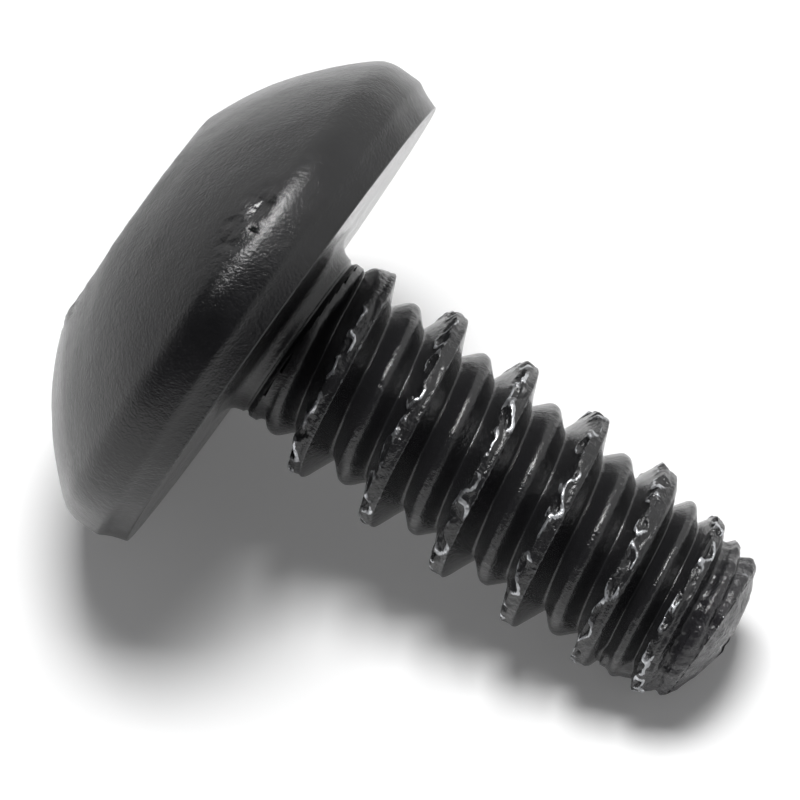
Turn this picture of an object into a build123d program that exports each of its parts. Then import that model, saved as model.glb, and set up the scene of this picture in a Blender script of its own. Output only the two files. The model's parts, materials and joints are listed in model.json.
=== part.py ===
from build123d import *
import os
from math import atan, cos, degrees, radians, sin, sqrt, tan

# A self-tapping screw, 4 mm thread by 10 mm long, for plastic and thin sheet. Millimetres.
# It is one cold-headed and rolled piece: a domed pan head with a cross recess, a short plain
# neck, a two-start thread of one high and one low ridge, and a blunt lead-in point.
# The screw is drawn upright about Z, with the bearing face under the head at Z = 0, the head
# below it and the shank above it. It is then laid down as a dropped screw comes to rest, on the
# rim of its head and on a crest of its thread, with the tip toward +X.

# Head
HEAD_RADIUS = 5.0
HEAD_HEIGHT = 3.2
DOME_RADIUS = 6.28          # ball that the dome is a slice of
RIM_HEIGHT = 1.16           # from the bearing face to where dome and rim would meet
CROWN_EASE = 0.08           # edge of the flat disc that the heading punch leaves on top
SHOULDER_EASE = 0.25        # between dome and rim
RIM_FOOT_RADIUS = 4.79      # the rim draws in to this at the bearing face
RIM_DRAW = 0.5              # height over which it draws in

# Cross recess, size 2
WING_SPAN = 4.1
WING_WIDTH = 1.1
WING_SLOPE = 26.5           # degrees between the ends of the wings and the axis
WING_DEPTH = 2.0
RECESS_CORE_RADIUS = 1.2
RECESS_CORE_FOOT = 0.8
RECESS_POINT = 0.4          # shallow cone below the wings

# Shank
SHANK_LENGTH = 9.83
NECK_RADIUS = 1.67
NECK_LENGTH = 0.62
NECK_FOOT = 0.9             # the neck tapers down to the core here
FLARE_FOOT_RADIUS = 2.07    # the neck flares out to this on the bearing face
FLARE_BEND = (1.79, 0.09)   # radius and height at which the flare steepens
FLARE_HEIGHT = 0.3
GROOVE_DEPTH = 0.06         # thin line where the neck meets the flare
GROOVE_WIDTH = 0.1
CORE_RADIUS = 1.4

# Thread
LEAD = 1.554
HIGH_CREST_RADIUS = 2.03
HIGH_CREST_WIDTH = 0.24
HIGH_FOOT_WIDTH = 0.76
LOW_CREST_RADIUS = 1.68
LOW_CREST_WIDTH = 0.16
LOW_FOOT_WIDTH = 0.66
RIDGE_SINK = 0.04           # how far the ridges reach into the core
THREAD_START = 1.24         # height of the first full high crest on the upper side as it lies
HIGH_RIDGE = (HIGH_CREST_RADIUS, HIGH_CREST_WIDTH, HIGH_FOOT_WIDTH, THREAD_START)
LOW_RIDGE = (LOW_CREST_RADIUS, LOW_CREST_WIDTH, LOW_FOOT_WIDTH, THREAD_START + LEAD / 2)

# Rolled envelope of the thread: run-in under the head, full crests, taper and point
OUTER_RADIUS = HIGH_CREST_RADIUS + RIDGE_SINK
RUN_IN = (0.36, 0.95)
CREST_TAPER = (6.0, 8.8)
TAPERED_RADIUS = 1.74
POINT_START = 9.46
POINT_RADIUS = 1.42         # here the blunt, rounded end begins

CONTACT_STEPS = 400         # heights tried to find where the lying thread touches the floor
UPWARD = (Align.CENTER, Align.CENTER, Align.MIN)


def section(*edges):
    """Face beside the axis, from edges drawn as (radius, height)."""
    return Plane.XZ * make_face(Curve() + list(edges))


def turned(face):
    return revolve(face, Axis.Z)


def head_and_neck():
    """Head and plain neck, turned in one piece; the neck runs down into the threaded rod."""
    dome_centre = sqrt(DOME_RADIUS ** 2 - HEAD_RADIUS ** 2) - RIM_HEIGHT
    crown_radius = sqrt(DOME_RADIUS ** 2 - (HEAD_HEIGHT + dome_centre) ** 2)
    crown = (crown_radius, -HEAD_HEIGHT)
    shoulder = (HEAD_RADIUS, -RIM_HEIGHT)
    groove_height = FLARE_HEIGHT + GROOVE_WIDTH
    outline = section(
        Line((0, -HEAD_HEIGHT), crown),
        RadiusArc(crown, shoulder, -DOME_RADIUS),
        Polyline(
            shoulder,
            (HEAD_RADIUS, -RIM_DRAW),
            (RIM_FOOT_RADIUS, 0),
            (FLARE_FOOT_RADIUS, 0),
            FLARE_BEND,
            (NECK_RADIUS, FLARE_HEIGHT),
            (NECK_RADIUS, groove_height - GROOVE_WIDTH / 2),
            (NECK_RADIUS - GROOVE_DEPTH, groove_height),
            (NECK_RADIUS, groove_height + GROOVE_WIDTH / 2),
            (NECK_RADIUS, NECK_LENGTH),
            (CORE_RADIUS - RIDGE_SINK, NECK_FOOT),
            (0, NECK_FOOT),
            (0, -HEAD_HEIGHT),
        ),
    )
    for corner, ease in ((crown, CROWN_EASE), (shoulder, SHOULDER_EASE)):
        radius, height = corner
        vertex = outline.vertices().sort_by_distance((radius, 0, height))[0]
        outline = chamfer(vertex, ease)
    return turned(outline)


def cross_recess():
    """Cutter for the cross recess: two crossed wings that taper inward, and a tapered core."""
    top = -HEAD_HEIGHT
    foot = top + WING_DEPTH
    reach = WING_SPAN / 2
    foot_reach = reach - WING_DEPTH * tan(radians(WING_SLOPE))
    wing_limit = turned(section(
        Polyline((0, top), (reach, top), (foot_reach, foot), (0, foot), (0, top)),
    ))
    bar = Box(WING_SPAN, WING_WIDTH, WING_DEPTH, align=UPWARD)
    cross = Pos(0, 0, top) * (bar + Rot(Z=90) * bar)
    core = turned(section(
        Polyline(
            (0, top),
            (RECESS_CORE_RADIUS, top),
            (RECESS_CORE_FOOT, foot),
            (0, foot + RECESS_POINT),
            (0, top),
        ),
    ))
    return (cross & wing_limit) + core


def envelope():
    """Space that the rolled thread fills: run-in, full crests, tapered crests and point."""
    run_in_start, run_in_end = RUN_IN
    taper_start, taper_end = CREST_TAPER
    end_rise = SHANK_LENGTH - POINT_START
    end_radius = (POINT_RADIUS ** 2 + end_rise ** 2) / (2 * end_rise)
    return turned(section(
        Polyline(
            (NECK_RADIUS - RIDGE_SINK, run_in_start),
            (OUTER_RADIUS, run_in_end),
            (OUTER_RADIUS, taper_start),
            (TAPERED_RADIUS, taper_end),
            (POINT_RADIUS, POINT_START),
        ),
        RadiusArc((POINT_RADIUS, POINT_START), (0, SHANK_LENGTH), -end_radius),
        Polyline((0, SHANK_LENGTH), (0, run_in_start), (NECK_RADIUS - RIDGE_SINK, run_in_start)),
    ))


def ridge(crest_radius, crest_width, foot_width, start):
    """One right-hand helical ridge, with flat crest and sloping flanks, sunk into the core."""
    flank = (foot_width - crest_width) / 2 / (crest_radius - CORE_RADIUS)
    sunk_radius = CORE_RADIUS - RIDGE_SINK
    sunk_half = foot_width / 2 + flank * RIDGE_SINK
    corners = [
        (sunk_radius, -sunk_half),
        (crest_radius, -crest_width / 2),
        (crest_radius, crest_width / 2),
        (sunk_radius, sunk_half),
    ]
    turns = int((SHANK_LENGTH - start) / LEAD) + 3
    faces = []
    for turn in range(turns):
        foot = start + (turn - 1) * LEAD
        helices = [
            Edge.make_helix(LEAD, LEAD, radius, center=(0, 0, foot + offset))
            for radius, offset in corners
        ]
        faces += [
            Face.make_surface_from_curves(helices[side - 1], helices[side])
            for side in range(len(corners))
        ]
        if turn == 0:
            faces.append(end_face(helices, 0))
    faces.append(end_face(helices, 1))
    return Solid(Shell(faces))


def end_face(helices, end):
    """Flat face across a ridge, at the start (0) or end (1) of its helices."""
    return Face(Wire.make_polygon([helix.position_at(end) for helix in helices], close=True))


def threaded_rod():
    """Core with its high and low ridges, trimmed to the rolled envelope."""
    core = Pos(0, 0, -LEAD) * Cylinder(CORE_RADIUS, SHANK_LENGTH + 4 * LEAD, align=UPWARD)
    return (core + ridge(*HIGH_RIDGE) + ridge(*LOW_RIDGE)) & envelope()


def screw():
    """The whole screw, upright, as one solid."""
    return (head_and_neck() - cross_recess()) + threaded_rod()


def ridge_reach(height, crest_radius, crest_width, foot_width, start):
    """Radius of one ridge at a height on the floor side, half a turn round from its start."""
    off_crest = abs((height - start) % LEAD - LEAD / 2) - crest_width / 2
    flank = (foot_width - crest_width) / 2 / (crest_radius - CORE_RADIUS)
    return crest_radius - max(off_crest, 0) / flank


def narrowed(height, start, start_radius, end, end_radius):
    """Radius at a height on a straight taper between two heights."""
    return start_radius + (end_radius - start_radius) * (height - start) / (end - start)


def floor_side_radius(height):
    """Radius of the thread at a height on the side that faces the floor."""
    taper_start, taper_end = CREST_TAPER
    thread = max(ridge_reach(height, *HIGH_RIDGE), ridge_reach(height, *LOW_RIDGE), CORE_RADIUS)
    taper = narrowed(height, taper_start, OUTER_RADIUS, taper_end, TAPERED_RADIUS)
    point = narrowed(height, taper_end, TAPERED_RADIUS, POINT_START, POINT_RADIUS)
    return min(thread, taper, point)


def resting_place():
    """Dip of the axis and height of its start, with rim and thread touching the floor."""
    taper_start = CREST_TAPER[0]
    step = (POINT_START - taper_start) / CONTACT_STEPS
    heights = [taper_start + n * step for n in range(CONTACT_STEPS + 1)]
    slope = min((HEAD_RADIUS - floor_side_radius(h)) / (h + RIM_DRAW) for h in heights)
    dip = atan(slope)
    lift = HEAD_RADIUS * cos(dip) - RIM_DRAW * sin(dip)
    return degrees(dip), lift


def laid_down(upright):
    """Tips the screw over: +Z becomes the way to the tip, low and toward +X, and +X turns up."""
    dip, lift = resting_place()
    lying = Pos(0, 0, lift) * Rot(Y=90 + dip) * Rot(Z=180) * upright
    centre = lying.bounding_box().center()
    return Pos(-centre.X, -centre.Y, 0) * lying


os.makedirs("parts", exist_ok=True)
piece = laid_down(screw())
export_step(piece, "parts/screw.step")

dip_angle, axis_lift = resting_place()
box = piece.bounding_box()
print(f"box {box.size.X:.2f} x {box.size.Y:.2f} x {box.size.Z:.2f} mm, lowest {box.min.Z:.4f}")
print(f"axis dips {dip_angle:.3f} degrees and crosses the bearing face {axis_lift:.4f} mm up")
print(f"volume {piece.volume:.2f} cubic mm in {len(piece.solids())} solid")
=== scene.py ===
# %% [markdown]
# A self-tapping screw, dressed for rendering.
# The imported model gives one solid, the screw as it lies on a surface. This scene replaces that
# solid with one dense mesh of the same size, in the same place, and gives it its black finish,
# light and camera. Read it from top to bottom: each cell adds one idea.

# %% Load the frame
import json
import math

import bpy
import numpy as np
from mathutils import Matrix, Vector


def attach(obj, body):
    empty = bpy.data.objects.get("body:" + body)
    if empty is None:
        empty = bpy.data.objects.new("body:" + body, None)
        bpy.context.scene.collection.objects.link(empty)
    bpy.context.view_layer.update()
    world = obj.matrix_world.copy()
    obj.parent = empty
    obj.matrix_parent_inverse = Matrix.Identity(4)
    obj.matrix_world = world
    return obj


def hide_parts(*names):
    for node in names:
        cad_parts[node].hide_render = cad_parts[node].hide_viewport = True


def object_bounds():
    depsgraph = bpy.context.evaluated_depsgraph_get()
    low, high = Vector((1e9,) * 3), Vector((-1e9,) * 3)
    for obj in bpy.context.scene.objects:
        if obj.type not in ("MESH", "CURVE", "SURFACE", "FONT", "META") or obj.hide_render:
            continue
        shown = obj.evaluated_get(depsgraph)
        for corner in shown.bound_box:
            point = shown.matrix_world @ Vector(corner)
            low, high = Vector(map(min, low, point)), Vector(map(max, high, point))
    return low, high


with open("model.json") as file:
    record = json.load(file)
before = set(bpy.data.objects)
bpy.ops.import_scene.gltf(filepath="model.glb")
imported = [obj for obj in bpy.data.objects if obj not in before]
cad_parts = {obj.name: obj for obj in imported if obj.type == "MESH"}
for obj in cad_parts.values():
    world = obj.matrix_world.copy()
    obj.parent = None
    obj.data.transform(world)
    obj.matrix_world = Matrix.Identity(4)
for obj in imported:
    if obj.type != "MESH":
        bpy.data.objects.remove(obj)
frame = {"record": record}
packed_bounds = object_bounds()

MM = 0.001
print("packed box in mm:", [[round(v / MM, 3) for v in corner] for corner in packed_bounds])

# %% [markdown]
# Where is the screw? It lies tilted, on the rim of its head and on its thread, so nothing about
# it lines up with the world's axes. One could turn the object in Blender, but pieces keep their
# place in their mesh here. So the way is the reverse: everything is drawn in the screw's own
# terms, as height along the axis, radius and angle, and one function turns those into points.
# All sizes are in millimetres. Height 0 is the bearing face under the head, the head is below
# it and the shank above. The axis itself comes from the record: the drive recess is a mount on it.

# %% The screw's own axes
HEAD_HEIGHT = 3.2
mounts = {mount["name"]: mount for mount in frame["record"]["mounts"]}
to_tip = -np.array(mounts["drive_recess"]["axis"], dtype=float)
to_tip /= np.linalg.norm(to_tip)
bearing_centre = np.array(mounts["drive_recess"]["pos_m"]) + to_tip * HEAD_HEIGHT * MM
dip = math.asin(-to_tip[2])
upward = np.array([math.sin(dip), 0.0, math.cos(dip)])
sideways = np.cross(to_tip, upward)


def placed(radius, angle, height):
    """World points of cylinder coordinates about the screw's axis."""
    out = np.cos(angle)[..., None] * upward + np.sin(angle)[..., None] * sideways
    return bearing_centre + MM * (radius[..., None] * out + height[..., None] * to_tip)


print("the axis dips %.2f degrees toward the tip" % math.degrees(dip))

# %% [markdown]
# Rolled metal has no knife edges, so most profiles here are made of straight lines whose corners
# are then eased. Five small helpers do all of it: two that join profiles with a rounded corner,
# one straight fade, one bell, and one that measures an angle from a middle.

# %% Profile helpers
def soft_max(a, b, width):
    """Larger of two profiles, with the corner between them filled to a fillet."""
    return (a + b + np.sqrt((a - b) ** 2 + width ** 2)) / 2


def soft_min(a, b, width):
    """Smaller of two profiles, with the corner between them rounded off."""
    return (a + b - np.sqrt((a - b) ** 2 + width ** 2)) / 2


def fade(value, none_at, full_at):
    """0 at one value, 1 at the other, straight in between."""
    return np.clip((value - none_at) / (full_at - none_at), 0, 1)


def bell(offset, width):
    """1 in the middle, falling off to both sides."""
    return np.exp(-(offset / width) ** 2)


def turn_from(angle, middle):
    """Angle from a middle, between half a turn back and half a turn on."""
    return (angle - middle + math.pi) % (2 * math.pi) - math.pi


print("corner of two equal profiles is eased by", soft_max(0, 0, 0.1), "for a width of 0.1")

# %% [markdown]
# The thread is a two-start one: a high ridge with a flat crest, and a low rounded ridge midway
# between its turns. Both are the same outline carried round the core, so the radius at any
# point depends only on where it is across the lead. Rolled threads have round roots and
# slightly round crests, which catch the light as thin lines. That is why the outline is made
# from straight flanks joined by soft maximum and minimum, not from sharp corners.

# %% Thread outline
LEAD = 1.554
CORE_RADIUS = 1.4
HIGH_CREST_RADIUS = 2.03
HIGH_CREST_HALF = 0.12
HIGH_FOOT_HALF = 0.38
HIGH_EDGE = 0.022
LOW_CREST_RADIUS = 1.68
LOW_CREST_HALF = 0.08
LOW_FOOT_HALF = 0.33
LOW_EDGE = 0.06
ROOT_FILLET = 0.15
THREAD_START = 1.24


def trapezoid(distance, crest_radius, crest_half, foot_half, edge):
    """Radius of one ridge with a flat crest and sloping flanks."""
    slope = (crest_radius - CORE_RADIUS) / (foot_half - crest_half)
    flank = crest_radius - (np.abs(distance) - crest_half) * slope
    return soft_min(np.full_like(distance, crest_radius), flank, edge)


def thread_radius(across):
    """Radius of the thread; across is the distance along the axis from a high crest."""
    high_distance = (across + LEAD / 2) % LEAD - LEAD / 2
    low_distance = across % LEAD - LEAD / 2
    low_radius = LOW_CREST_RADIUS + LOW_EDGE / 3
    high = trapezoid(high_distance, HIGH_CREST_RADIUS, HIGH_CREST_HALF, HIGH_FOOT_HALF, HIGH_EDGE)
    low = trapezoid(low_distance, low_radius, LOW_CREST_HALF, LOW_FOOT_HALF, LOW_EDGE)
    root = np.full_like(across, CORE_RADIUS - ROOT_FILLET / 4)
    return soft_max(soft_max(high, low, ROOT_FILLET / 2), root, ROOT_FILLET / 2)


high_low_root = thread_radius(np.array([0, LEAD / 2, LEAD * 0.28]))
print("high crest, low crest and root radius:", high_low_root.round(3))

# %% [markdown]
# Near the tip the rolling dies end. The last turns draw closer together, and the very last one
# breaks up into three thin steps. One could give the thread a changing lead, but then the rows
# of the grid would need one too. Instead the screw has an even thread, and these functions say
# which height of it is drawn at which height of the real one.

# %% Last turn
CLOSING_START = 7.6
CLOSING = 1.32
LAST_SEAM = math.radians(150)
LAST_FADE = 1.5
LAST_FOLDS = [(-0.42, 1.40), (-0.14, 1.74), (0.10, 1.70), (0.30, 1.40), (0.46, 1.46), (0.58, 1.57),
              (0.72, 1.53), (0.84, 1.34), (0.98, 1.40), (1.09, 1.47), (1.2, 1.44), (1.3, 1.40)]


def drawn_out(height):
    """Height at which an even thread would have what this one has at a height."""
    return height + np.maximum(height - CLOSING_START, 0) * (CLOSING - 1)


def closed_up(even_height):
    """Inverse of drawn_out: where a feature of an even thread really is."""
    return even_height - np.maximum(even_height - CLOSING_START, 0) * (1 - 1 / CLOSING)


def last_folds(even_height, angle):
    """Radius where the last turn breaks up into thin steps, and how far it has broken up."""
    past_turns = np.where(angle > LAST_SEAM, 4, 5)
    across = even_height - THREAD_START - LEAD * (past_turns + angle / (2 * math.pi))
    ends, radii = zip(*LAST_FOLDS)
    share = np.where(angle > LAST_SEAM, fade(angle, LAST_SEAM, LAST_SEAM + LAST_FADE), 1)
    inside = (across > ends[0]) & (across < ends[-1] + 0.4)
    return np.interp(across, ends, radii), share * inside


print("the turn at 9 mm is what an even thread has at %.2f mm" % drawn_out(9.0))

# %% [markdown]
# The thread stays inside the shape that the dies leave: it runs in under the head, keeps its full
# height, tapers, and ends in a blunt rounded point. The same profiles hold the plain neck and
# the lump that fills the last valleys on one side, as a worn die leaves it.

# %% Rolled envelope and neck
SHANK_LENGTH = 9.83
NECK_RADIUS = 1.67
NECK_LENGTH = 0.62
NECK_FOOT = 0.9
NECK_SINK = 0.1             # how far the foot of the neck goes down into the core
ENVELOPE = [(0.36, 1.63), (0.9, 1.86), (1.25, 1.97), (1.75, 2.07), (6.0, 2.07), (8.8, 1.74), (9.46, 1.42)]
POINT_START, POINT_RADIUS = ENVELOPE[-1]
POINT_LENGTH = SHANK_LENGTH - POINT_START
END_RADIUS = (POINT_RADIUS ** 2 + POINT_LENGTH ** 2) / 2 / POINT_LENGTH
LUMP = [(7.95, 1.35), (8.2, 1.66), (8.64, 1.60), (8.98, 1.46), (9.2, 1.3)]
LUMP_FLOOR = 1.3
LUMP_ANGLE = math.radians(122)
LUMP_HALF_WIDTH = math.radians(34)


def envelope_radius(height):
    """Radius of the space that the thread is rolled in, ending in a slice of a ball."""
    below_end = np.clip(SHANK_LENGTH - height, 0, END_RADIUS)
    end_cap = np.sqrt(END_RADIUS ** 2 - (END_RADIUS - below_end) ** 2)
    return np.where(height > POINT_START, end_cap, np.interp(height, *zip(*ENVELOPE)))


def neck_radius(height):
    """Radius of the plain neck, which tapers down into the core."""
    return np.interp(height, [NECK_LENGTH, NECK_FOOT], [NECK_RADIUS, CORE_RADIUS - NECK_SINK])


def lump_radius(height, angle):
    """Radius of the lump that fills the last valleys on one side."""
    rise = np.interp(height, *zip(*LUMP)) - LUMP_FLOOR
    return LUMP_FLOOR + rise * np.exp(-(turn_from(angle, LUMP_ANGLE) / LUMP_HALF_WIDTH) ** 4)


print("the end is a slice of a ball of radius %.2f mm" % END_RADIUS)

# %% [markdown]
# A grid that simply went round the shank would cut every ridge into steps. This one leans with
# the thread: each row follows the helix, and the rows are closer where the outline turns. After
# one turn a row arrives where the row one lead further on began, so the grid closes on itself.

# %% Rows across one lead
LOW_CREST_AT = LEAD / 2
ROW_SPANS = [
    (-0.44, -0.36, 3), (-0.36, -0.165, 9), (-0.165, -0.095, 5), (-0.095, 0.095, 6),
    (0.095, 0.145, 3), (0.145, 0.36, 3), (0.36, 0.48, 4), (0.48, LOW_CREST_AT - 0.11, 2),
    (LOW_CREST_AT - 0.11, LOW_CREST_AT + 0.11, 5), (LOW_CREST_AT + 0.11, LEAD - 0.44, 3),
]
row_offsets = np.concatenate(
    [np.linspace(start, end, count, endpoint=False) for start, end, count in ROW_SPANS])
ROWS_PER_LEAD = len(row_offsets)
COLUMNS = 304
column_angle = np.linspace(0, 2 * math.pi, COLUMNS, endpoint=False)
column_lean = np.linspace(0, LEAD, COLUMNS, endpoint=False)
print("rows per lead:", ROWS_PER_LEAD, "and columns round it:", COLUMNS)

# %% [markdown]
# The high ridge isn't clean: a chain of small hollows runs along the edge between its crest and
# the flank on the head side. Each is a shallow bowl of uneven outline with a raised lip round
# part of it, no two alike, and the lips catch the light. All of this could be a bump map, but it
# changes the outline of the crest, so it is moved vertices.

# %% Hollows along the high crest
HOLLOW_PITCH = 0.64
LIP_HEIGHT = 0.50           # as a part of the hollow's depth
LIP_AT = 1.24               # as a part of its size, and so is the width
LIP_WIDTH = 0.34
WANDER = 0.04               # of the chain from its line, in a wave along the helix
FLANK_WIDTH = HIGH_FOOT_HALF - HIGH_CREST_HALF
FLANK_RATIO = math.hypot(FLANK_WIDTH, HIGH_CREST_RADIUS - CORE_RADIUS) / FLANK_WIDTH
turn_length = 2 * math.pi * HIGH_CREST_RADIUS
hollow_count = int(SHANK_LENGTH / LEAD * turn_length / HOLLOW_PITCH)
dice = np.random.default_rng(41)
hollow_place = (np.arange(hollow_count) + dice.uniform(-0.2, 0.2, hollow_count)) * HOLLOW_PITCH
hollow_length = dice.uniform(0.16, 0.26, hollow_count)
hollow_width = dice.uniform(0.10, 0.17, hollow_count)
hollow_centre = dice.uniform(-0.01, 0.12, hollow_count)
hollow_depth = dice.uniform(0.05, 0.11, hollow_count)
hollow_open = dice.uniform(0, 2 * math.pi, hollow_count)


def hollows(across, along):
    """Depth of the hollows less the height of their lips; along is length round the helix."""
    down_flank = -HIGH_CREST_HALF - across
    down_flank = np.where(down_flank > 0, down_flank * FLANK_RATIO, down_flank)
    depth = np.zeros_like(across)
    for place, length, width, centre, deep, opening in zip(
            hollow_place, hollow_length, hollow_width, hollow_centre, hollow_depth, hollow_open):
        near = np.abs(along - place) < 1.9 * length
        u = (along[near] - place) / length
        v = (down_flank[near] - centre - WANDER * np.sin(7 * along[near])) / width
        way = np.arctan2(v, u)
        distance = np.sqrt(u * u + v * v)
        distance *= 1 + 0.14 * np.sin(2 * way + 3 * opening) + 0.07 * np.sin(5 * way + opening)
        bowl = deep * np.clip(1 - distance ** 2, 0, 1)
        closed = 0.2 + 0.8 * np.clip(0.5 + np.cos(way - opening), 0, 1)
        depth[near] += bowl - LIP_HEIGHT * deep * closed * bell(distance - LIP_AT, LIP_WIDTH)
    return depth


print("hollows:", hollow_count)

# %% [markdown]
# Rolling also leaves folds, thin grooves that run along the crest and down the flank on the head
# side, and come and go. Each is a bell-shaped groove at its own place across the thread, with
# its own beat along the helix.

# %% Folds along the thread
CREST_FOLD_DEPTH = 0.020
CREST_FOLD_WIDTH = 0.03
FOLD_WIDTH = 0.018
FOLDS = [(-0.185, 0.016, 1.7, 0.4), (-0.245, 0.020, 1.1, 2.0), (-0.305, 0.014, 2.3, 4.1)]


def folds(across, along):
    """Depth of the folds; each in the list has its place, depth, beat and start."""
    wander = 0.012 * np.sin(along * 2.3) + 0.008 * np.sin(along * 6.1 + 1)
    crest_fold = 0.03 + 0.035 * np.sin(along * 1.9) + 0.02 * np.sin(along * 5.3 + 1)
    depth = CREST_FOLD_DEPTH * bell(across - crest_fold, CREST_FOLD_WIDTH)
    for place, deep, beat, start in FOLDS:
        present = np.clip(0.55 + 0.6 * np.sin(along * beat + start), 0, 1)
        depth += deep * present * bell(across - place - wander, FOLD_WIDTH)
    return depth


print("folds on the flank:", len(FOLDS))

# %% [markdown]
# Small irregularities make metal look made rather than drawn. A seeded sum of waves is a cheap
# noise that gives the same bumps on every run. It takes points in millimetres and a wavelength.
# The shank is nearly smooth, and grows ragged toward the tip.

# %% Ripples
RAGGED_FROM, RAGGED_TO = 8.2, 9.1
ROLLED_RIPPLES = [(0.0035, 0.9, 3), (0.0020, 0.22, 4)]      # height, wavelength, seed
RAGGED_RIPPLES = [(0.010, 0.62, 5), (0.013, 0.26, 6)]


def ripple(points, wavelength, seed, waves=9):
    """Smooth noise of about unit height at points (..., 3)."""
    local = np.random.default_rng(seed)
    total = np.zeros(points.shape[:-1])
    for _ in range(waves):
        direction = local.normal(size=3)
        direction *= 2 * math.pi / (np.linalg.norm(direction) * wavelength * local.uniform(0.7, 1.5))
        total += np.sin(points @ direction + local.uniform(0, 2 * math.pi))
    return total / math.sqrt(waves / 2)


def roughened(points, outward, height):
    """Points of the shank moved in and out a little, and more toward the tip."""
    ragged = fade(height, RAGGED_FROM, RAGGED_TO)
    bumps = sum(high * ripple(points / MM, long, seed) for high, long, seed in ROLLED_RIPPLES)
    bumps += ragged * sum(high * ripple(points / MM, long, seed) for high, long, seed in RAGGED_RIPPLES)
    return points + outward * bumps[..., None] * MM


print("raggedness grows from %.1f to %.1f mm" % (RAGGED_FROM, RAGGED_TO))

# %% [markdown]
# Everything is laid into one mesh, so that no seam shows between head, neck, thread and tip. A
# small collector takes vertices ring by ring. Beside its place every vertex keeps a few marks,
# numbers such as how near a crest is, that the finish reads later to know where to wear.

# %% Mesh collector
MARK_NAMES = ("crest", "rough", "lip", "gloss", "tip", "scuff", "face")


class Shell:
    """Collects vertices and faces, with a number for every mark at each vertex."""

    def __init__(self):
        self.points = []
        self.marks = {name: [] for name in MARK_NAMES}
        self.count = 0
        self.faces = []
        self.recess = []

    def add(self, points, **marks):
        """Adds vertices and returns their numbers; a mark that isn't given is 0."""
        first = self.count
        self.points.append(points)
        self.count += len(points)
        for name, store in self.marks.items():
            store.append(np.broadcast_to(marks.get(name, 0.0), (len(points),)))
        return np.arange(first, self.count)

    def band(self, lower, upper):
        """Quads between two closed rings of the same length."""
        for column in range(len(lower)):
            after = (column + 1) % len(lower)
            self.faces.append((lower[column], lower[after], upper[after], upper[column]))

    def doubling_band(self, fine, coarse):
        """Joins a closed ring to an earlier one with half as many points."""
        for column in range(len(coarse)):
            after = (column + 1) % len(coarse)
            left, middle, right = fine[2 * column], fine[2 * column + 1], fine[2 * after]
            self.faces.append((left, middle, coarse[column]))
            self.faces.append((middle, coarse[after], coarse[column]))
            self.faces.append((middle, right, coarse[after]))

    def fan(self, ring, centre):
        """Triangles from a closed ring to one point."""
        for column in range(len(ring)):
            self.faces.append((ring[column], ring[(column + 1) % len(ring)], centre))


shell = Shell()
print("marks at each vertex:", ", ".join(MARK_NAMES))

# %% [markdown]
# One function gives the surface of the shank. It takes the thread, breaks up the last turn, holds
# it inside the rolled envelope, lets it run into the neck, and then takes off the hollows and
# folds. It works on whole rows at once with numpy, so it takes only a few seconds. The marks come
# from the same numbers: edges of the crests wear first, dented stretches are rough, and the
# blunt tip has a mark of its own.

# %% Shank surface
LUMP_FILLET = 0.04
TRIM_EDGE = 0.03
HOLLOWED = (-0.42, 0.14)    # across the thread, from the high crest
EDGE_WEAR, LOW_CREST_WEAR = 0.045, 0.07


def full_radius(height, angle, across):
    """Radius of the clean shank: thread, last turn, lump, envelope and neck."""
    radius = thread_radius(across)
    broken, share = last_folds(drawn_out(height), angle)
    radius = radius + (broken - radius) * share
    radius = soft_max(radius, lump_radius(height, angle), LUMP_FILLET)
    radius = soft_min(radius, envelope_radius(height), TRIM_EDGE)
    return soft_max(radius, neck_radius(height), TRIM_EDGE)


def shank_marks(across, height, dent, in_thread):
    """Marks of the shank's vertices."""
    high_edge = bell(np.abs(np.abs(across) - HIGH_CREST_HALF), EDGE_WEAR) * in_thread
    low_crest = 0.8 * bell(across % LEAD - LEAD / 2, LOW_CREST_WEAR) * in_thread
    crest = np.maximum(high_edge, low_crest)
    rough = fade(np.abs(across), 0.17, 0.13) + fade(np.abs(dent), 0, 0.02)
    rough = np.maximum(rough, 0.5 * crest)
    tip = fade(height, 8.8, 9.3)
    return {
        "crest": crest,
        "rough": np.clip(np.maximum(rough * in_thread, 0.3 * tip), 0, 1),
        "lip": fade(-dent, 0.012, 0.024),
        "gloss": fade(height, NECK_LENGTH, NECK_LENGTH + 0.4) * fade(height, 9.7, 9.5),
        "tip": tip,
    }


def shank_points(height, angle, lean, turn):
    """World points and marks of the shank at given heights and angles."""
    across = drawn_out(height) - lean - THREAD_START - turn * LEAD
    along = HIGH_CREST_RADIUS * (angle + 2 * math.pi * turn)
    in_thread = fade(height, 0.85, 1.15) * fade(height, 9.45, 9.15)
    hollowed = (across > HOLLOWED[0]) & (across < HOLLOWED[1])
    dent = np.where(hollowed, hollows(across, along), 0) * in_thread
    on_flank = np.maximum(fade(-across, HIGH_CREST_HALF - 0.05, HIGH_CREST_HALF), 0.25)
    radius = full_radius(height, angle, across)
    radius = radius - dent * (1.0 - 0.35 * on_flank) - folds(across, along) * in_thread
    height = height + 0.6 * on_flank * dent
    points = placed(radius, angle, height)
    outward = points - placed(np.zeros_like(radius), angle, height)
    outward /= np.linalg.norm(outward, axis=-1, keepdims=True)
    return roughened(points, outward, height), shank_marks(across, height, dent, in_thread)


middle_marks = shank_points(np.full(COLUMNS, 5.0), column_angle, column_lean, 2)[1]
print("part of the ring at 5 mm that wears as a crest: %.2f" % (middle_marks["crest"] > 0.5).mean())

# %% [markdown]
# Now the grid of the shank. Rows that have leaned past either end are held at that end, so the
# grid starts and stops on a plain ring, and the faces that collapse there are left out.

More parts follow.
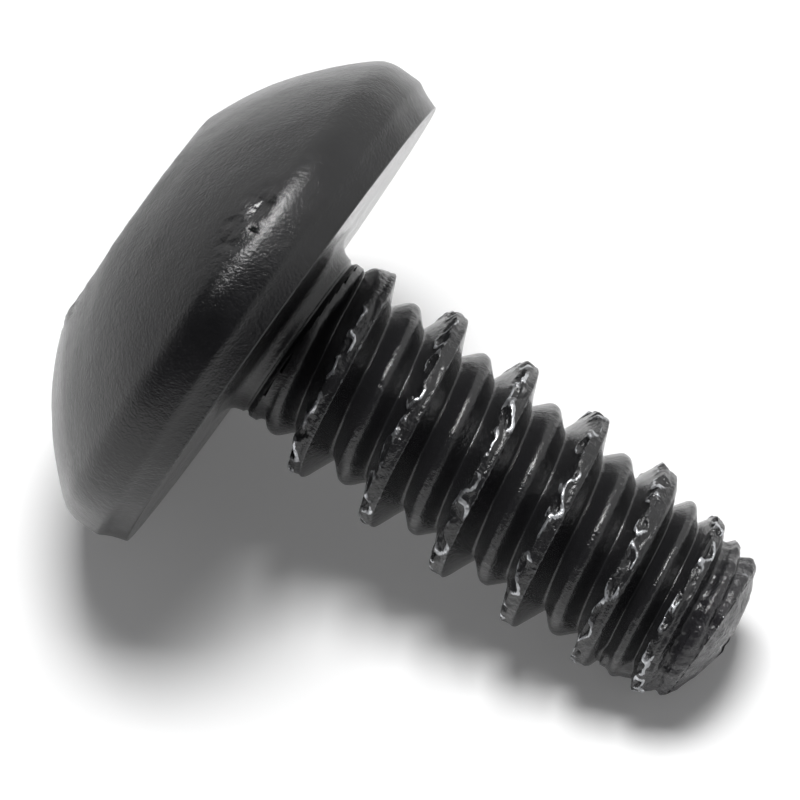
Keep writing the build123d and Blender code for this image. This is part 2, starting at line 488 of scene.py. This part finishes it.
# %% Shank grid
FLARE = [(2.07, 0.0), (1.90, 0.035), (1.79, 0.09), (1.71, 0.19), (1.67, 0.30)]
GROOVE_WIDTH = 0.1
GRID_START = FLARE[-1][1] + 2 * GROOVE_WIDTH
GRID_END = POINT_START + 0.05
TINY = 1e-6


def shank_rows(shell, start_ring, end_ring):
    """Vertex numbers of every leaning row, held to the plain rings beyond the ends."""
    first_turn = math.floor((GRID_START - THREAD_START) / LEAD) - 1
    last_turn = math.ceil((drawn_out(GRID_END) - THREAD_START) / LEAD) + 1
    rows = []
    for turn in range(first_turn, last_turn + 1):
        for offset in row_offsets:
            height = closed_up(THREAD_START + turn * LEAD + offset + column_lean)
            row = np.where(height <= GRID_START, start_ring, end_ring)
            inside = (height > GRID_START + TINY) & (height < GRID_END - TINY)
            if inside.any():
                points, marks = shank_points(
                    height[inside], column_angle[inside], column_lean[inside], turn)
                row[inside] = shell.add(points, **marks)
            rows.append(row)
    return rows


def build_shank(shell):
    """Adds the leaning grid and returns its first and last rings."""
    none = np.zeros(COLUMNS)
    rings = []
    for end in (GRID_START, GRID_END):
        points, marks = shank_points(np.full(COLUMNS, end), column_angle, column_lean, none)
        rings.append(shell.add(points, **marks))
    rows = shank_rows(shell, *rings)
    for index in range(len(rows) - 1):
        for column in range(COLUMNS):
            corners = []
            for row, place in ((index, column), (index, column + 1),
                               (index + 1, column + 1), (index + 1, column)):
                if place == COLUMNS:
                    place, row = 0, row + ROWS_PER_LEAD
                corner = rows[row][place] if row < len(rows) else rings[1][place]
                if corner not in corners:
                    corners.append(corner)
            if len(corners) > 2:
                shell.faces.append(tuple(corners))
    return rings


shank_start, shank_end = build_shank(shell)
print("shank:", shell.count, "vertices,", len(shell.faces), "faces")

# %% [markdown]
# The head is turned, so its outline is a short chain of arcs and lines, and the rings follow it.
# One could spin a curve with the Screw modifier, but the rings have to meet the recess inside
# and the shank outside column by column, so they are laid one by one. The shoulder between dome
# and rim is an arc that touches both, found from the two circles' centres.

# %% Head outline
HEAD_RADIUS = 5.0
DOME_RADIUS = 6.28
RIM_HEIGHT = 1.16
CROWN_EASE = 0.08
SHOULDER_ROUND = 0.75
RIM_FOOT_RADIUS = 4.79
RIM_DRAW = 0.5
RIM_OUTLINE = [(4.985, -RIM_DRAW + 0.03), (4.94, -0.40), (4.875, -0.27), (4.825, -0.13),
               (RIM_FOOT_RADIUS, -0.025), (4.786, -0.006)]
FACE_RADII = (4.775, 4.74, 4.1, 3.4, 2.7, 2.2)
GROOVE_DEPTH = 0.06
GROOVE_STEPS = [(-0.06, 0), (-0.03, 0.7), (0, 1), (0.03, 0.7), (0.06, 0)]
DOME_CENTRE = math.sqrt(DOME_RADIUS ** 2 - HEAD_RADIUS ** 2) - RIM_HEIGHT
CROWN_RADIUS = math.sqrt(DOME_RADIUS ** 2 - (HEAD_HEIGHT + DOME_CENTRE) ** 2)


def arc(centre, radius, start, end, count):
    """Points (radius, height) along an arc; angles in radians from the outward direction."""
    angles = np.linspace(start, end, count)
    return [(centre[0] + radius * math.cos(a), centre[1] + radius * math.sin(a)) for a in angles]


def head_outline():
    """From the edge of the crown, round the dome and rim, across the bearing face."""
    shoulder_x = HEAD_RADIUS - SHOULDER_ROUND
    shoulder_y = DOME_CENTRE - math.sqrt((DOME_RADIUS - SHOULDER_ROUND) ** 2 - shoulder_x ** 2)
    crown_angle = math.atan2(-HEAD_HEIGHT - DOME_CENTRE, CROWN_RADIUS)
    touch_angle = math.atan2(shoulder_y - DOME_CENTRE, shoulder_x)
    ease = CROWN_EASE / DOME_RADIUS
    crown_edge = [
        (CROWN_RADIUS - CROWN_EASE, -HEAD_HEIGHT),
        (CROWN_RADIUS - CROWN_EASE / 3, -HEAD_HEIGHT + CROWN_EASE / 6)]
    dome = arc((0, DOME_CENTRE), DOME_RADIUS, crown_angle + ease, touch_angle, 20)
    shoulder = arc((shoulder_x, shoulder_y), SHOULDER_ROUND, touch_angle, 0, 13)[1:]
    rim = [(HEAD_RADIUS, -RIM_DRAW - 0.04)] + RIM_OUTLINE
    return crown_edge + dome + shoulder + rim + [(radius, 0) for radius in FACE_RADII]


def neck_outline():
    """Flare under the head and the thin groove where it meets the plain neck."""
    groove = FLARE[-1][1] + GROOVE_WIDTH
    return FLARE + [(NECK_RADIUS - part * GROOVE_DEPTH, groove + rise) for rise, part in GROOVE_STEPS]


outline = head_outline()
print("head outline:", len(outline), "points, widest", max(r for r, _ in outline), "mm")

# %% [markdown]
# The cross recess is pressed in by a four-winged punch. Seen from the axis each wall point is at
# one distance only, so the recess is also a set of rings: at every depth the ring is the outline
# of a cross, two bars and a round core, which shrinks as the wings taper.

# %% Cross recess outline
WING_SPAN = 4.1
WING_WIDTH = 1.1
WING_SLOPE = math.radians(26.5)
WING_DEPTH = 2.0
RECESS_CORE_RADIUS = 1.2
RECESS_CORE_FOOT = 0.8
RECESS_POINT = 0.4
HEAD_COLUMNS = COLUMNS // 2
QUARTER = HEAD_COLUMNS // 4
WING_COLUMNS, FLANK_COLUMNS = 7, 12
head_angle = np.linspace(0, 2 * math.pi, HEAD_COLUMNS, endpoint=False)


def cross_ring(depth):
    """Distance from the axis and angle of every column of the recess, with columns at corners."""
    reach = WING_SPAN / 2 - depth * math.tan(WING_SLOPE)
    core = RECESS_CORE_RADIUS + (RECESS_CORE_FOOT - RECESS_CORE_RADIUS) * depth / WING_DEPTH
    wing_corner = math.asin(min(WING_WIDTH / 2 / reach, 0.7))
    core_corner = max(math.asin(WING_WIDTH / 2 / core), wing_corner + 0.02)
    column = (np.arange(HEAD_COLUMNS) + QUARTER // 2) % QUARTER - QUARTER // 2
    from_wing = np.sign(column) * np.interp(
        np.abs(column),
        [0, WING_COLUMNS, FLANK_COLUMNS, QUARTER / 2],
        [0, wing_corner, core_corner, math.pi / 4])
    bar = WING_WIDTH / 2 / np.maximum(np.abs(np.sin(from_wing)), TINY)
    radius = np.maximum(np.minimum(bar, reach), core)
    wing = head_angle - column * 2 * math.pi / HEAD_COLUMNS
    return radius, wing + from_wing


print("recess: radius from %.2f to %.2f mm" % (cross_ring(0)[0].min(), cross_ring(0)[0].max()))

# %% [markdown]
# Pressing leaves the edge of the flat crown slightly burred, most of all on one side, and this
# head has been knocked: on its shoulder there is a rubbed patch of small dents, which is why that
# spot sparkles. Both are small moves of the vertices along the surface's own direction.

# %% Burr and rubbed patch
SCUFF_HEIGHT, SCUFF_HALF_HEIGHT = -1.38, 0.24
SCUFF_ANGLE, SCUFF_HALF_LENGTH = math.radians(16), 0.62
SHOULDER_REACH = 4.8        # radius at the patch, which turns its angle into a length
SCUFF_DENT = 0.010
BURR_ANGLE, BURR_SPREAD = math.radians(98), 0.35
HEAD_RIPPLES = [(0.006, 1.6, 8), (0.002, 0.5, 9)]           # height, wavelength, seed


def scuffed(points, angle, height):
    """How much of the rubbed patch is at a point, 0 to 1."""
    aside = turn_from(angle, SCUFF_ANGLE) * SHOULDER_REACH / SCUFF_HALF_LENGTH
    from_middle = aside ** 2 + ((height - SCUFF_HEIGHT) / SCUFF_HALF_HEIGHT) ** 2
    return np.exp(-from_middle ** 1.5) * np.clip(0.75 + 0.5 * ripple(points / MM, 0.5, 12), 0, 1)


def head_ring(shell, radius, angle, height):
    """Adds one ring of the head with its burrs, unevenness and rubbed patch."""
    points = placed(radius, angle, height)
    middle = placed(np.zeros(HEAD_COLUMNS), angle, np.full(HEAD_COLUMNS, -RIM_DRAW))
    outward = points - middle
    outward /= np.linalg.norm(outward, axis=-1, keepdims=True)
    near_crown = bell(radius - CROWN_RADIUS, 0.12) * (height < -3)
    burr = 0.010 + 0.035 * bell(angle - BURR_ANGLE, BURR_SPREAD)
    scuff = scuffed(points, angle, height)
    bumps = sum(high * ripple(points / MM, long, seed) for high, long, seed in HEAD_RIPPLES)
    bumps += near_crown * burr * np.clip(ripple(points / MM, 0.45, 10), -0.6, 1)
    bumps -= SCUFF_DENT * scuff * ripple(points / MM, 0.22, 11)
    face = fade(height, -0.03, -0.01) * (radius < RIM_FOOT_RADIUS + 0.01)
    return shell.add(points + outward * bumps[:, None] * MM, scuff=scuff, face=face)


print("rubbed patch: %.2f mm long, %.2f mm high" % (2 * SCUFF_HALF_LENGTH, 2 * SCUFF_HALF_HEIGHT))

# %% [markdown]
# The head is laid ring by ring from the bottom of the recess outward, over the crown, dome and
# rim and in across the bearing face. Under the head the rings double their points and go on
# round the flare and groove to the first ring of the shank.

# %% Head
def recess_rings():
    """Rings of the recess from its cone up to its edge, each with radius, angle and height."""
    foot = WING_DEPTH - HEAD_HEIGHT
    foot_radius, foot_angle = cross_ring(WING_DEPTH)
    for part in (0.3, 0.6, 0.85):
        radius = part * foot_radius
        cone = foot + RECESS_POINT * np.clip(1 - radius / RECESS_CORE_FOOT, 0, 1)
        yield radius, foot_angle, cone
    for depth in np.linspace(WING_DEPTH, 0.04, 9):
        radius, angle = cross_ring(depth)
        yield radius, angle, np.full(HEAD_COLUMNS, depth - HEAD_HEIGHT)


def crown_rings():
    """Rings from the eased edge of the recess across the flat crown, and down the outline."""
    edge, edge_angle = cross_ring(0)
    crown_edge = outline[0][0]
    yield edge + 0.008, edge_angle, np.full(HEAD_COLUMNS, 0.012 - HEAD_HEIGHT)
    for part in (0.04, 0.3, 0.65, 0.9):
        radius = edge + (crown_edge - edge) * part
        angle = edge_angle + (head_angle - edge_angle) * part
        yield radius, angle, np.full(HEAD_COLUMNS, -HEAD_HEIGHT)
    for radius, height in outline:
        yield np.full(HEAD_COLUMNS, radius), head_angle, np.full(HEAD_COLUMNS, height)


def build_head(shell, shank_start):
    """Adds the recess, crown, dome, rim and bearing face, down to the shank's first ring."""
    previous = None
    for radius, angle, height in (*recess_rings(), *crown_rings()):
        ring = head_ring(shell, radius, angle, height)
        if np.max(radius) < CROWN_RADIUS:
            shell.recess.extend(ring)
        if previous is None:
            bottom = np.array([WING_DEPTH + RECESS_POINT - HEAD_HEIGHT])
            centre = shell.add(placed(np.zeros(1), np.zeros(1), bottom))[0]
            shell.fan(ring[::-1], centre)
        else:
            shell.band(ring, previous)
        previous = ring
    for radius, height in neck_outline():
        ring = shell.add(placed(np.full(COLUMNS, radius), column_angle, np.full(COLUMNS, height)))
        if len(previous) == HEAD_COLUMNS:
            shell.doubling_band(ring, previous)
        else:
            shell.band(ring, previous)
        previous = ring
    shell.band(shank_start, previous)


build_head(shell, shank_start)
print("with the head:", shell.count, "vertices")

# %% [markdown]
# The tip is the slice of a ball that ends the envelope, roughened along the axis. A few rings
# are enough, closer together toward the middle, where the surface turns flat.

# %% Tip
TIP_STEPS = (0.27, 0.20, 0.13, 0.07, 0.03, 0.008)           # back from the very end
TIP_HOLLOW = 0.02


def build_tip(shell, shank_end):
    """Closes the shank with its blunt, rounded, ragged end."""
    previous = shank_end
    for step in TIP_STEPS:
        heights = np.full(COLUMNS, SHANK_LENGTH - step)
        points = placed(envelope_radius(heights), column_angle, heights)
        ring = shell.add(roughened(points, to_tip, heights), rough=0.3, gloss=0.6, tip=1.0)
        shell.band(ring, previous)
        previous = ring
    middle = placed(np.zeros(1), np.zeros(1), np.array([SHANK_LENGTH - TIP_HOLLOW]))
    shell.fan(previous, shell.add(middle, tip=1.0)[0])


build_tip(shell, shank_end)
print("with the tip:", shell.count, "vertices")

# %% [markdown]
# All rings are in place, so the mesh can be made in one go. The marks kept at the vertices become
# attributes that the finish reads later. The surface is shaded smooth, as rolled and turned metal
# is, but smooth shading smears across the punched edges of the recess, so those are marked sharp.

# %% The screw mesh
SHARP_ANGLE = math.radians(38)


def make_mesh(shell):
    """Mesh of everything in the shell, with its marks as attributes."""
    mesh = bpy.data.meshes.new("screw_surface")
    mesh.from_pydata(np.concatenate(shell.points).tolist(), [], shell.faces)
    for name, store in shell.marks.items():
        attribute = mesh.attributes.new(name, "FLOAT", "POINT")
        attribute.data.foreach_set("value", np.concatenate(store).astype(np.float32))
    mesh.validate()
    mesh.shade_smooth()
    keep_sharp(mesh, shell.recess)
    return mesh


def keep_sharp(mesh, kept):
    """Marks steep edges sharp where both ends are among the kept vertices, and nowhere else."""
    mesh.set_sharp_from_angle(angle=SHARP_ANGLE)
    ends = np.empty(2 * len(mesh.edges), dtype=np.int32)
    mesh.edges.foreach_get("vertices", ends)
    sharp = mesh.attributes["sharp_edge"].data
    steep = np.empty(len(mesh.edges), dtype=bool)
    sharp.foreach_get("value", steep)
    wanted = steep & np.isin(ends.reshape(-1, 2), kept).all(axis=1)
    sharp.foreach_set("value", wanted)
    print("sharp edges in the recess:", int(wanted.sum()))


screw = bpy.data.objects.new("screw_surface", make_mesh(shell))
bpy.context.scene.collection.objects.link(screw)
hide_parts("screw")
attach(screw, "root")
triangle_count = sum(len(face.vertices) - 2 for face in screw.data.polygons)
print("screw:", len(screw.data.vertices), "vertices,", triangle_count, "triangles")

# %% [markdown]
# Shader maths reads best as plain expressions. This small class wraps a socket, so that
# a * b + c makes the Math nodes itself, and one method makes every other kind of node.

# %% Shader expressions
class Signal:
    """An output socket that can stand in arithmetic."""

    def __init__(self, socket):
        self.socket = socket
        self.tree = socket.id_data

    @classmethod
    def node(cls, tree, kind, settings=None, inputs=None, output=0):
        """Adds a node: its settings first, then the values or links of its sockets."""
        node = tree.nodes.new(kind)
        for name, value in (settings or {}).items():
            setattr(node, name, value)
        for name, value in (inputs or {}).items():
            socket = node.inputs[name]
            if isinstance(value, cls):
                tree.links.new(value.socket, socket)
            else:
                socket.default_value = value
        return cls(node.outputs[output]) if len(node.outputs) else None

    def maths(self, operation, first, second):
        """Math node of two values."""
        return Signal.node(self.tree, "ShaderNodeMath", {"operation": operation}, {0: first, 1: second})

    def __add__(self, other):
        return self.maths("ADD", self, other)

    def __radd__(self, other):
        return self.maths("ADD", other, self)

    def __sub__(self, other):
        return self.maths("SUBTRACT", self, other)

    def __rsub__(self, other):
        return self.maths("SUBTRACT", other, self)

    def __mul__(self, other):
        return self.maths("MULTIPLY", self, other)

    def __rmul__(self, other):
        return self.maths("MULTIPLY", other, self)

    def at_most(self, limit):
        """The value, held to a limit."""
        return self.maths("MINIMUM", self, limit)


def blend(tree, factor, first, second):
    """Mix of two colours: the first at factor 0, the second at 1."""
    return Signal.node(
        tree, "ShaderNodeMix", {"data_type": "RGBA", "clamp_factor": True},
        {"Factor": factor, 6: first, 7: second}, output=2)


def new_tree(owner):
    """Empty node tree of a material or world."""
    owner.use_nodes = True
    owner.node_tree.nodes.clear()
    return owner.node_tree


print("operators ready: + - * and at_most")

# %% [markdown]
# The finish is a black coat over steel. It isn't one colour: cloudy on the head, and thinner and
# greyer on the thread and tip. It wears to bare grey metal in specks along the crests and lips.
# The head is satin with a fine grain; the thread is glossier, because rolling burnishes it. Wear
# follows the marks from the mesh, broken up by noise so that it comes and goes. One could paint a
# wear map by hand, but marks that come from the shape always sit where the shape would rub.

# %% Black finish
COAT_DARK, COAT_LIGHT = (0.004, 0.004, 0.0045, 1), (0.009, 0.009, 0.010, 1)
THREAD_COAT, TIP_COAT = (0.013, 0.013, 0.014, 1), (0.024, 0.023, 0.026, 1)
BARE_STEEL = (0.55, 0.56, 0.58, 1)
SATIN = 0.222
BUMP_HEIGHT = 0.010


def black_finish():
    """Procedural finish of the whole screw."""
    material = bpy.data.materials.new("black_finish")
    tree = new_tree(material)
    place = Signal.node(tree, "ShaderNodeTexCoord", output="Object")

    def noise(size, detail=3.0, roughness=0.5):
        """Noise with features of a given size in millimetres."""
        return Signal.node(
            tree, "ShaderNodeTexNoise", {"noise_dimensions": "3D"},
            {"Vector": place, "Scale": 1 / (size * MM), "Detail": detail, "Roughness": roughness})

    def steps(value, low, high):
        """0 below low, 1 above high."""
        return Signal.node(
            tree, "ShaderNodeMapRange", {"clamp": True},
            {"Value": value, "From Min": low, "From Max": high})

    crest, rough, lip, gloss, tip, scuff, face = [
        Signal.node(tree, "ShaderNodeAttribute", {"attribute_name": name}, output="Fac")
        for name in MARK_NAMES]
    clouds, chips, dents = noise(1.3), noise(0.24, 1.0), noise(0.26, 0.0)
    speckle, grain = noise(0.11, 2.0), noise(0.045, 4.0, 0.6)

    worn = steps(crest * 0.44 + lip * 0.45 + speckle, 0.98, 1.12)
    bare = steps(lip * 0.9 + tip * 0.55 + chips, 1.23, 1.38)
    coat = blend(tree, steps(clouds, 0.35, 0.7), COAT_DARK, COAT_LIGHT)
    coat = blend(tree, tip, blend(tree, gloss, coat, THREAD_COAT), TIP_COAT)
    colour = blend(tree, (worn * 0.25 + bare * 0.75).at_most(1), coat, BARE_STEEL)

    uneven = (speckle - 0.5) * 0.10 + (clouds - 0.5) * 0.15
    roughness = SATIN + uneven + rough * 0.14 + lip * 0.06 - gloss * 0.125 - face * 0.155 - scuff * 0.13
    relief = grain * (1 + face * 2.0) + dents * scuff * 15.0
    relief = relief + speckle * (0.7 - gloss * 0.2 + rough * 3.0 + tip * 3.0)
    bump = Signal.node(
        tree, "ShaderNodeBump", None,
        {"Strength": 1.0, "Distance": BUMP_HEIGHT * MM, "Height": relief})
    surface = Signal.node(
        tree, "ShaderNodeBsdfPrincipled", None,
        {"Base Color": colour, "Roughness": roughness, "IOR": 1.5, "Normal": bump,
         "Metallic": (worn * 0.5 + bare * 0.5).at_most(1)})
    Signal.node(tree, "ShaderNodeOutputMaterial", None, {"Surface": surface})
    return material


screw.data.materials.append(black_finish())
print("black finish:", len(screw.data.materials[0].node_tree.nodes), "nodes")

# %% [markdown]
# The screw lies in a white room. The room's light for matt surfaces is weak, so that the lamp's
# shadow shows, but rays that reach the room from the camera or off a gloss see it white. One
# could light the whole room that white, and lose the shadow.

# %% Room
AMBIENT = (0.11, 0.11, 0.112, 1)
WHITE = (1, 1, 1, 1)


def seen_directly(tree):
    """1 for rays from the camera, off a gloss or through glass, 0 for light that falls on things."""
    camera_ray, glossy_ray, glass_ray = [
        Signal.node(tree, "ShaderNodeLightPath", output=ray)
        for ray in ("Is Camera Ray", "Is Glossy Ray", "Is Transmission Ray")]
    return (camera_ray + glossy_ray + glass_ray).at_most(1)


def white_room():
    """World that is white to look at and gives matt surfaces a weak light."""
    world = bpy.data.worlds.new("studio")
    bpy.context.scene.world = world
    tree = new_tree(world)
    colour = blend(tree, seen_directly(tree), AMBIENT, WHITE)
    background = Signal.node(tree, "ShaderNodeBackground", None, {"Color": colour, "Strength": 1.0})
    Signal.node(tree, "ShaderNodeOutputWorld", None, {"Surface": background})


white_room()
print("ambient light on matt surfaces:", AMBIENT[0])

# %% [markdown]
# The stage is a pale floor that runs out of view. It is a plain sheet with a matt paint, and a
# little glow for rays that see it directly, so that it joins the white room without an edge.

# %% Floor
HALF_FLOOR = 0.6
FLOOR_PAINT = (0.98, 0.98, 0.98, 1)
FLOOR_GLOW = 0.10


def flat_sheet(name, corners, shader, faces=((0, 1, 2, 3),)):
    """Sheet of the studio with one shader."""
    mesh = bpy.data.meshes.new(name)
    mesh.from_pydata(corners, [], faces)
    sheet = bpy.data.objects.new(name, mesh)
    bpy.context.scene.collection.objects.link(sheet)
    material = bpy.data.materials.new(name + "_paint")
    tree = new_tree(material)
    Signal.node(tree, "ShaderNodeOutputMaterial", None, {"Surface": shader(tree)})
    mesh.materials.append(material)
    return sheet


def floor_shader(tree):
    """Matt white paint with a little glow for rays that see it directly."""
    matt = Signal.node(tree, "ShaderNodeBsdfDiffuse", None, {"Color": FLOOR_PAINT})
    glow = Signal.node(
        tree, "ShaderNodeEmission", None,
        {"Color": WHITE, "Strength": seen_directly(tree) * FLOOR_GLOW})
    return Signal.node(tree, "ShaderNodeAddShader", None, {0: matt, 1: glow})


floor_corners = [(x * HALF_FLOOR, y * HALF_FLOOR, 0) for x, y in ((-1, -1), (1, -1), (1, 1), (-1, 1))]
flat_sheet("floor", floor_corners, floor_shader)
print("floor: %.1f m square" % (2 * HALF_FLOOR))

# %% [markdown]
# A black glossy thing in an all-white room looks flat and pale. In a studio a dark card is set
# beside the camera, and its reflection gives the dome its dark middle. The card here is seen in
# reflections alone, so it neither shades the floor nor stands in another view.

# %% Dark card
CARD_DISTANCE = 0.30
CARD_STEPS = 4
CARD_GREY = (0.09, 0.09, 0.095, 1)
CARD_LOWER = [(-178, 25), (-165, 21), (-140, 11), (-110, 5), (-80, 5), (-50, 5), (-35, 8), (-15, 12)]
CARD_UPPER = [(-178, 56), (-165, 67), (-140, 74), (-110, 77), (-80, 77), (-50, 74), (-35, 66), (-15, 50)]


def card_shader(tree):
    """Plain dark grey that needs no light."""
    return Signal.node(tree, "ShaderNodeEmission", None, {"Color": CARD_GREY, "Strength": 1.0})


def bent_card():
    """Sheet bent round the camera's side; its edges are (compass angle, angle up) in degrees."""
    points = []
    for (turn, low), (_, high) in zip(CARD_LOWER, CARD_UPPER):
        for step in range(CARD_STEPS + 1):
            up = math.radians(low + (high - low) * step / CARD_STEPS)
            way = math.radians(turn)
            points.append((
                CARD_DISTANCE * math.cos(up) * math.cos(way),
                CARD_DISTANCE * math.cos(up) * math.sin(way),
                CARD_DISTANCE * math.sin(up)))
    faces = []
    for column in range(len(CARD_LOWER) - 1):
        for row in range(CARD_STEPS):
            corner = column * (CARD_STEPS + 1) + row
            over = corner + CARD_STEPS + 1
            faces.append((corner, over, over + 1, corner + 1))
    return flat_sheet("dark_card", points, card_shader, faces)


card = bent_card()
card.visible_camera = False
card.visible_diffuse = False
card.visible_shadow = False
print("dark card:", len(card.data.polygons), "faces")

# %% [markdown]
# Two lamps, both overhead. A broad panel throws the soft shadow under the shank and lights the
# floor to just white, but isn't seen in reflections. A smaller one is seen only in reflections:
# it puts the glints on the shoulder of the head, the low ridge and the lips. One lamp could do
# both jobs, but then the glints would be as wide as the shadow is soft.

# %% Lamps
LAMP_DISTANCE = 0.25
centre = (Vector(packed_bounds[0]) + Vector(packed_bounds[1])) / 2


def panel(name, direction, size, brightness):
    """Square panel; brightness is what it adds to a white surface that faces it."""
    way = Vector(direction).normalized()
    light = bpy.data.lights.new(name, "AREA")
    light.size = size
    light.energy = brightness * (math.pi * LAMP_DISTANCE) ** 2
    lamp = bpy.data.objects.new(name, light)
    lamp.location = centre + way * LAMP_DISTANCE
    lamp.rotation_euler = (-way).to_track_quat("-Z", "Y").to_euler()
    bpy.context.scene.collection.objects.link(lamp)
    print(name, "lamp: %.3f m wide, %.2f W" % (size, light.energy))
    return lamp


overhead = panel("overhead", (-0.05, 0.10, 1), 0.095, 1.0)
overhead.visible_glossy = False
glint = panel("glint", (-0.20, 0.05, 1), 0.046, 1.02)
glint.visible_diffuse = False

# %% [markdown]
# The camera looks down across the lying screw with a long lens. Its place is worked out rather
# than tried: it stands square to a chosen height of the axis, and just high enough that the axis
# runs down across the frame at a chosen slope. A long lens from far off keeps the circles of
# the head nearly edge-on, as a catalogue shows them.

# %% Camera
SLOPE = math.radians(35.5)
DISTANCE = 0.160
SQUARE_HEIGHT = 5.1
AIM_HEIGHT = 2.52
AIM_LIFT = 0.13
FRAME_WIDTH = 14.39
SENSOR_WIDTH = 36

lean = math.atan2((SQUARE_HEIGHT - AIM_HEIGHT) * MM, DISTANCE)
across_part = math.sin(SLOPE) * math.cos(lean)
elevation = math.acos(math.sin(dip) / math.hypot(across_part, math.sin(lean)))
elevation -= math.atan2(math.sin(lean), across_part)
azimuth = math.asin(
    (math.sin(lean) + math.sin(dip) * math.sin(elevation)) / (math.cos(dip) * math.cos(elevation)))
to_camera = Vector((
    math.sin(azimuth) * math.cos(elevation),
    -math.cos(azimuth) * math.cos(elevation),
    math.sin(elevation)))
image_lift = to_camera.cross(Vector(to_tip)).normalized()
aim = Vector(bearing_centre) + Vector(to_tip) * AIM_HEIGHT * MM + image_lift * AIM_LIFT * MM
lens = bpy.data.cameras.new("camera")
lens.lens = SENSOR_WIDTH * DISTANCE / (FRAME_WIDTH * MM)
lens.sensor_width = SENSOR_WIDTH
lens.clip_start = 0.001
camera = bpy.data.objects.new("camera", lens)
camera.location = aim + to_camera * DISTANCE
camera.rotation_euler = (-to_camera).to_track_quat("-Z", "Y").to_euler()
bpy.context.scene.collection.objects.link(camera)
bpy.context.scene.camera = camera
bpy.context.scene.view_settings.view_transform = "Standard"
print("camera at", round(math.degrees(elevation), 2), "degrees up,", round(lens.lens), "mm lens")
